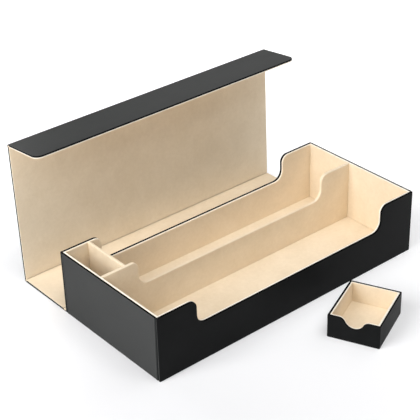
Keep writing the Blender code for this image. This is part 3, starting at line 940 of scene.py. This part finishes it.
def build_tray_leather():
    flat_x, flat_y = TRAY_HALF_X - TRAY_CORNER, TRAY_HALF_Y - TRAY_CORNER
    bend = TRAY_CORNER * math.pi / 2
    columns = [flat_x + bend * k / CORNER_STEPS for k in range(1, CORNER_STEPS + 1)]
    columns += [flat_x + bend + 2 * flat_y + bend * k / CORNER_STEPS for k in range(CORNER_STEPS + 1)]
    columns += [flat_x + 2 * bend + 2 * flat_y + flat_x * share for share in (GROOVE_FROM, 1.0)]
    leather = leather_rings(TRAY_LIP, TRAY_SKIN, TRAY_EDGE_R, TRAY_DROP)
    bm = shell(finger_rim(flat_x, TRAY_TOP), 0.0, [leather], band_place, columns, follow=True,
               trim=LEATHER_RIM)
    make_piece("tray_leather_wrap", bm, LEATHER, "tray", ["tray_leather_band"])


def build_tray_floor():
    inset = TRAY_LIP + UNDERSIDE_GAP
    bm = closed_sheet(centred_rectangle(TRAY_HALF_X - inset, TRAY_HALF_Y - inset), TRAY_UNDERSIDE_RINGS,
                      lambda x, y, depth: tray_point(x, y, TRAY_UNDERSIDE_LIFT + depth))
    make_piece("tray_underside_leather", bm, LEATHER, "tray", ["tray_floor_leather"])
    bottom, top = (corner.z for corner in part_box("tray_floor_lining"))
    rings = laid_rings(TRAY_FLOOR_INNERMOST, TRAY_FLOOR_R, top - bottom, steps=4)
    bm = closed_sheet(centred_rectangle(TRAY_HALF_X - TRAY_WALL, TRAY_HALF_Y - TRAY_WALL), rings,
                      lambda x, y, depth: tray_point(x, y, top - depth))
    make_piece("tray_floor_cloth", bm, LINING, "tray", ["tray_floor_lining"])


def tray_wall_place(away, turns):
    """A tray wall's lining: away from the middle on the front side, then carried round by quarter turns."""
    def place(s, z, depth):
        x, y = s, depth - away
        for _ in range(turns):
            x, y = -y, x
        return tray_point(x, y, z)

    return place


def tray_reach(side, lip, half):
    """Half length of a tray wall's lining at a depth: its ends are mitred against the next walls'."""
    right = {"front": 1.0, "rear": -1.0}.get(side, 0.0)  # sign of s where this wall meets the right one

    def reach(depth, s_sign):
        end = TRAY_RIGHT_LIP if s_sign == right else TRAY_LIP
        return half - (end + (depth - lip) * (TRAY_WALL - end) / (TRAY_WALL - lip))

    return reach


def build_tray_walls():
    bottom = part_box("tray_floor_lining")[0].z
    for side, turns in (("front", 0), ("rear", 2), ("left", 3), ("right", 1)):
        half, away = (TRAY_HALF_Y, TRAY_HALF_X) if turns % 2 else (TRAY_HALF_X, TRAY_HALF_Y)
        inner = half - TRAY_WALL - TRAY_LAST_FLAT
        rim = finger_rim(inner, TRAY_TOP) if side == "front" else [(-inner, TRAY_TOP), (inner, TRAY_TOP)]
        lip = TRAY_RIGHT_LIP if side == "right" else TRAY_LIP
        lining = lining_rings(TRAY_WALL, TRAY_WALL - TRAY_SKIN, lip, TRAY_RIM_R, TRAY_DROP, TRAY_CROWN)
        bm = shell(rim, bottom, [lining], tray_wall_place(away, turns),
                   (half - TRAY_WALL - TRAY_LAST_STEP, half),
                   mitre=(tray_reach(side, lip, half), TRAY_WALL - TRAY_TUCK), trim=LINING_RIM)
        nodes = ["tray_lining_band"] if side == "front" else []
        make_piece("tray_" + side + "_cloth", bm, LINING, "tray", nodes)


def build_tray():
    build_tray_leather()
    build_tray_floor()
    build_tray_walls()


# ---------------------------------------------------------------- frame nodes that stay


def finish_nodes():
    """Boards and magnets keep their CAD shape."""
    for name, obj in frame["nodes"].items():
        for word, mat, slot in (("magnet", STEEL, "magnet_steel"), ("board", BOARD, "board")):
            if word in name:
                obj.data.materials.clear()
                obj.data.materials.append(mat)


# ---------------------------------------------------------------- stage

STAGE_SIZE = 30.0               # half the studio floor's side
STAGE_DROP = 0.2 * MM           # the floor lies just clear of the undersides
GLOW_CENTRE = (-0.34, -0.22, 0.0)
GLOW_DISTANCES = (0.12, 1.60)   # from that point the floor grows brighter with distance
GLOW_STRENGTHS = (0.02, 0.95)
SKY_STRENGTHS = (0.70, 0.02)    # at the horizon and from a little above it
SKY_HORIZON = 0.07              # sine of the elevation up to which the horizon's light reaches

# Soft boxes: name, elevation and azimuth in degrees (0 is in front of the box, 90 its right), power in watts
SOFT_BOXES = (
    ("left", 38, 270, 29.0),
    ("left_low", 12, 270, 24.5),
    ("front_left", 38, 315, 9.0),
    ("top_front", 65, 0, 15.0),
    ("top_front_right", 65, 45, 8.0),
    ("right", 38, 90, 6.5),
    ("back_low", 12, 180, 26.0),
    ("back_right_low", 12, 135, 4.5),
)
SOFT_BOX_SIZE = 1.3
SOFT_BOX_DISTANCE = 2.2
SOFT_BOX_CENTRE = Vector((0.0, 0.0, 0.05))

CAMERA_PLACE = (-0.84508, -0.97180, 0.86046)
CAMERA_AZIMUTH = math.radians(39.329)   # from +Y towards +X
CAMERA_ELEVATION = math.radians(30.569)
CAMERA_ROLL = math.radians(-1.713)
CAMERA_LENS = 108.42                    # mm, on a sensor 36 mm wide
CAMERA_SENSOR = 36.0
WHITE = (1.0, 1.0, 1.0, 1.0)


def studio_material():
    """Pale floor that glows more with distance, so that it runs out into white."""
    mat, tree, shader = new_material("studio_white")
    coords = object_coordinates(tree)
    tint = noise(tree, coords, scale=3.0)
    colour = ramp(tree, tint, [(0.3, (0.780, 0.780, 0.793)), (0.7, (0.800, 0.800, 0.811))])
    tree.links.new(colour, shader.inputs["Base Color"])
    shader.inputs["Roughness"].default_value = 0.85
    shader.inputs["Specular IOR Level"].default_value = 0.1
    shader.inputs["Emission Color"].default_value = WHITE
    away = add_node(tree, "ShaderNodeVectorMath", operation="DISTANCE")
    away.inputs[1].default_value = GLOW_CENTRE
    tree.links.new(coords, away.inputs[0])
    glow = remap(tree, away.outputs["Value"], *GLOW_STRENGTHS, *GLOW_DISTANCES)
    tree.links.new(glow, shader.inputs["Emission Strength"])
    return mat


def build_floor():
    bm = bmesh.new()
    bmesh.ops.create_grid(bm, x_segments=1, y_segments=1, size=STAGE_SIZE)
    mesh = bpy.data.meshes.new("studio_floor")
    bm.to_mesh(mesh)
    bm.free()
    mesh.materials.append(studio_material())
    floor = bpy.data.objects.new("studio_floor", mesh)
    floor.location = (0.0, 0.0, -STAGE_DROP)
    bpy.context.scene.collection.objects.link(floor)


def build_sky():
    """A faint white sky with a brighter horizon, so that low views have no dark band."""
    world = bpy.data.worlds.new("studio_world")
    world.use_nodes = True
    tree = world.node_tree
    sky = tree.nodes["Background"]
    sky.inputs["Color"].default_value = WHITE
    place = tree.nodes.new("ShaderNodeSeparateXYZ")
    coords = tree.nodes.new("ShaderNodeTexCoord").outputs["Generated"]
    tree.links.new(coords, place.inputs["Vector"])
    fade = remap(tree, place.outputs["Z"], *SKY_STRENGTHS, end=SKY_HORIZON)
    tree.links.new(fade, sky.inputs["Strength"])
    bpy.context.scene.world = world


def build_soft_box(name, elevation, azimuth, power):
    rise, turn = math.radians(elevation), math.radians(azimuth)
    towards = Vector((math.sin(turn) * math.cos(rise), -math.cos(turn) * math.cos(rise), math.sin(rise)))
    data = bpy.data.lights.new(name, "AREA")
    data.shape = "SQUARE"
    data.size = SOFT_BOX_SIZE
    data.energy = power
    light = bpy.data.objects.new(name, data)
    light.location = towards * SOFT_BOX_DISTANCE + SOFT_BOX_CENTRE
    light.rotation_euler = (-towards).to_track_quat("-Z", "Y").to_euler()
    bpy.context.scene.collection.objects.link(light)


def build_camera():
    forward = Vector((
        math.sin(CAMERA_AZIMUTH) * math.cos(CAMERA_ELEVATION),
        math.cos(CAMERA_AZIMUTH) * math.cos(CAMERA_ELEVATION),
        -math.sin(CAMERA_ELEVATION),
    ))
    right = Vector((math.cos(CAMERA_AZIMUTH), -math.sin(CAMERA_AZIMUTH), 0.0))
    up = right.cross(forward)
    turned_right = right * math.cos(CAMERA_ROLL) + up * math.sin(CAMERA_ROLL)
    turned_up = up * math.cos(CAMERA_ROLL) - right * math.sin(CAMERA_ROLL)
    data = bpy.data.cameras.new("camera")
    data.sensor_width = CAMERA_SENSOR
    data.lens = CAMERA_LENS
    camera = bpy.data.objects.new("camera", data)
    camera.location = CAMERA_PLACE
    camera.rotation_euler = Matrix((turned_right, turned_up, -forward)).transposed().to_euler()
    bpy.context.scene.collection.objects.link(camera)
    bpy.context.scene.camera = camera


def build_stage():
    build_floor()
    build_sky()
    for values in SOFT_BOXES:
        build_soft_box(*values)
    build_camera()
    view = bpy.context.scene.view_settings
    view.view_transform = "Standard"
    view.look = "None"
    view.exposure = 0.0
    view.gamma = 1.0


build_walls()
build_underside()
build_floors()
build_dividers()
build_cover()
build_tray()
finish_nodes()
build_stage()
